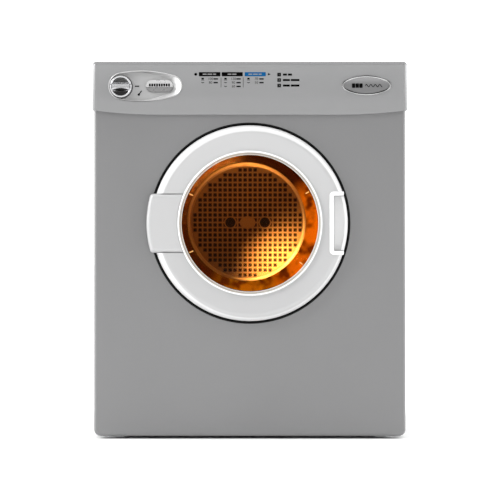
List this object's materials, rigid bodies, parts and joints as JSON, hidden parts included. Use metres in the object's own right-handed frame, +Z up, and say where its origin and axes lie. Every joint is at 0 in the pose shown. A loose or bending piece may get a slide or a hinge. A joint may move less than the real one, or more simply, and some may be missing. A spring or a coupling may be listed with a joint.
{
  "type": "clothes dryer",
  "caption": "Front-loading vented clothes dryer: hinged round door with a bowl window, tumbling drum, timer knob, push button, lift-out lint filter and rear exhaust.",
  "frame": {"origin": "on the floor under the middle of the machine", "axes": "+X to the user's right, the door faces -Y, +Z up"},
  "size_m": [0.595, 0.5586, 0.712],
  "materials": {
    "body_paint": "satin silver grey",
    "galvanised": "zinc coated",
    "fascia_plastic": "satin silver grey",
    "dish_plastic": "satin pale silver",
    "knob_silver": "bright",
    "button_silver": "satin silver",
    "badge_face": null,
    "door_plastic": "pale grey, satin",
    "door_white": "near white, gloss",
    "amber_glazing": "amber tinted, clear",
    "surround_black": "moulded",
    "liner_grey": "moulded",
    "seal_rubber": "matt",
    "seal_felt": "felt",
    "bright_steel": "plain",
    "drum_steel": "galvanised, fine brushed",
    "lifter_plastic": "moulded",
    "filter_plastic": "moulded",
    "gauze": "woven mesh",
    "dark_plastic": "moulded",
    "motor_iron": "laminated and painted",
    "capacitor_can": "drawn can",
    "belt_rubber": "ribbed",
    "arm_steel": "pressed",
    "bearing_iron": "cast",
    "heater_sheath": "oxidised sheath"
  },
  "bodies": {
    "cabinet": {"front_panel": "body_paint", "side_panel_left": "body_paint", "side_panel_right": "body_paint", "top_panel": "body_paint", "rear_panel": "galvanised", "base_pan": "galvanised", "control_panel": "fascia_plastic", "control_dish": "dish_plastic", "badge_plate": "badge_face", "badge_rim": "knob_silver", "timer_body": "dark_plastic", "option_switch": "dark_plastic", "hinge_bracket": "bright_steel", "hinge_pin": "bright_steel", "latch_catch": "dark_plastic", "door_surround": "surround_black", "drum_front_seal": "seal_felt", "motor_body": "motor_iron", "motor_bracket": "galvanised", "run_capacitor": "capacitor_can", "drive_belt": "belt_rubber", "idler_post": "galvanised", "suction_duct": "dark_plastic", "fan_housing": "galvanised", "exhaust_spigot": "bright_steel", "rear_bearing": "bearing_iron", "heater_cover": "galvanised", "heater_element": "heater_sheath", "terminal_cover": "dark_plastic", "rear_screws": "bright_steel"},
    "door": {"door_ring": "door_plastic", "handle_frame": "door_plastic", "window_bowl": "amber_glazing", "window_bezel": "door_white", "door_liner": "liner_grey", "door_seal": "seal_rubber", "hinge_cover": "door_white", "hinge_leaf": "bright_steel", "door_striker": "dark_plastic"},
    "drum": {"drum_shell": "drum_steel", "drum_rear_plate": "drum_steel", "lifter_1": "lifter_plastic", "lifter_2": "lifter_plastic", "lifter_3": "lifter_plastic", "drum_shaft": "bright_steel"},
    "lint_filter": {"lint_filter_grid": "filter_plastic", "lint_gauze": "gauze"},
    "rotor": {"motor_shaft": "bright_steel", "motor_pulley": "dark_plastic", "fan_wheel": "dark_plastic"},
    "idler_arm": {"idler_arm": "arm_steel"},
    "idler_wheel": {"idler_wheel": "dark_plastic"},
    "knob": {"timer_knob": "knob_silver", "knob_skirt": "dark_plastic", "timer_shaft": "bright_steel"},
    "button": {"option_button": "button_silver"},
    "foot_front_left": {"foot_front_left": "bright_steel"},
    "foot_front_right": {"foot_front_right": "bright_steel"},
    "foot_rear_left": {"foot_rear_left": "bright_steel"},
    "foot_rear_right": {"foot_rear_right": "bright_steel"}
  },
  "joints": [
    {"name": "door_hinge", "type": "hinge", "parent": "cabinet", "child": "door", "pos_m": [-0.18, -0.266, 0.407], "axis": [0, 0, -1], "range_deg": [0, 120]},
    {"name": "drum_spin", "type": "hinge", "parent": "cabinet", "child": "drum", "pos_m": [0, 0, 0.407], "axis": [0, 1, 0], "continuous": true},
    {"name": "motor_spin", "type": "hinge", "parent": "cabinet", "child": "rotor", "pos_m": [0.19, 0, 0.095], "axis": [0, 1, 0], "continuous": true},
    {"name": "idler_arm_swing", "type": "hinge", "parent": "cabinet", "child": "idler_arm", "pos_m": [0.13819, -0.02, 0.052], "axis": [0, -1, 0], "range_deg": [0, 12], "stiffness_Nm_per_rad": 2, "springref_deg": -8.59},
    {"name": "idler_wheel_spin", "type": "hinge", "parent": "idler_arm", "child": "idler_wheel", "pos_m": [0.07619, -0.03, 0.086], "axis": [0, 1, 0], "continuous": true},
    {"name": "lint_filter_pull", "type": "slide", "parent": "drum", "child": "lint_filter", "axis": [0, -1, 0], "range_m": [0, 0.12]},
    {"name": "timer_knob_turn", "type": "hinge", "parent": "cabinet", "child": "knob", "pos_m": [-0.2428, -0.265, 0.664], "axis": [0, 1, 0], "range_deg": [0, 330]},
    {"name": "option_button_press", "type": "slide", "parent": "cabinet", "child": "button", "axis": [0, 1, 0], "range_m": [0, 0.003], "stiffness_N_per_m": 600},
    {"name": "foot_front_left_screw", "type": "slide", "parent": "cabinet", "child": "foot_front_left", "axis": [0, 0, -1], "range_m": [0, 0.012]},
    {"name": "foot_front_right_screw", "type": "slide", "parent": "cabinet", "child": "foot_front_right", "axis": [0, 0, -1], "range_m": [0, 0.012]},
    {"name": "foot_rear_left_screw", "type": "slide", "parent": "cabinet", "child": "foot_rear_left", "axis": [0, 0, -1], "range_m": [0, 0.012]},
    {"name": "foot_rear_right_screw", "type": "slide", "parent": "cabinet", "child": "foot_rear_right", "axis": [0, 0, -1], "range_m": [0, 0.012]}
  ],
  "couplings": [
    {"joint": "motor_spin", "follows": "drum_spin", "ratio": 27},
    {"joint": "idler_wheel_spin", "follows": "drum_spin", "ratio": -14.67}
  ]
}
